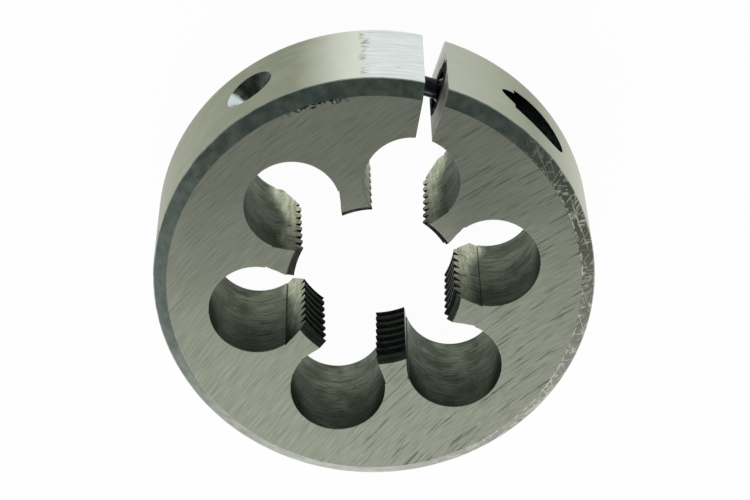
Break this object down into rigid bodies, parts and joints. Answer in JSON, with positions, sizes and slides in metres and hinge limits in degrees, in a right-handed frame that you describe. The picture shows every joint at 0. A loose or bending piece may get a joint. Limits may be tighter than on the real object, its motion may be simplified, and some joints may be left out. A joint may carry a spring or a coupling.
{
  "type": "round threading die",
  "caption": "Split round die that cuts an outside thread: toothed lands between chip holes, a sawn slot, and a black screw across the slot that sets its opening.",
  "frame": {"origin": "centre of the back face, on the thread axis", "axes": "+Z along the thread axis towards the entry face, +Y towards the adjusting slot"},
  "size_m": [0.045, 0.045, 0.014],
  "materials": {
    "tool_steel": "ground tool steel, grey with fine grinding lines",
    "black_oxide_steel": "black oxide with a light oil sheen"
  },
  "bodies": {
    "die": {"die_body": "tool_steel"},
    "adjuster": {"adjusting_screw": "black_oxide_steel"}
  },
  "joints": [
    {"name": "adjusting_screw_turn", "type": "hinge", "parent": "die", "child": "adjuster", "pos_m": [0, 0.0195, 0.0063], "axis": [1, 0, 0], "range_deg": [0, 360]}
  ]
}
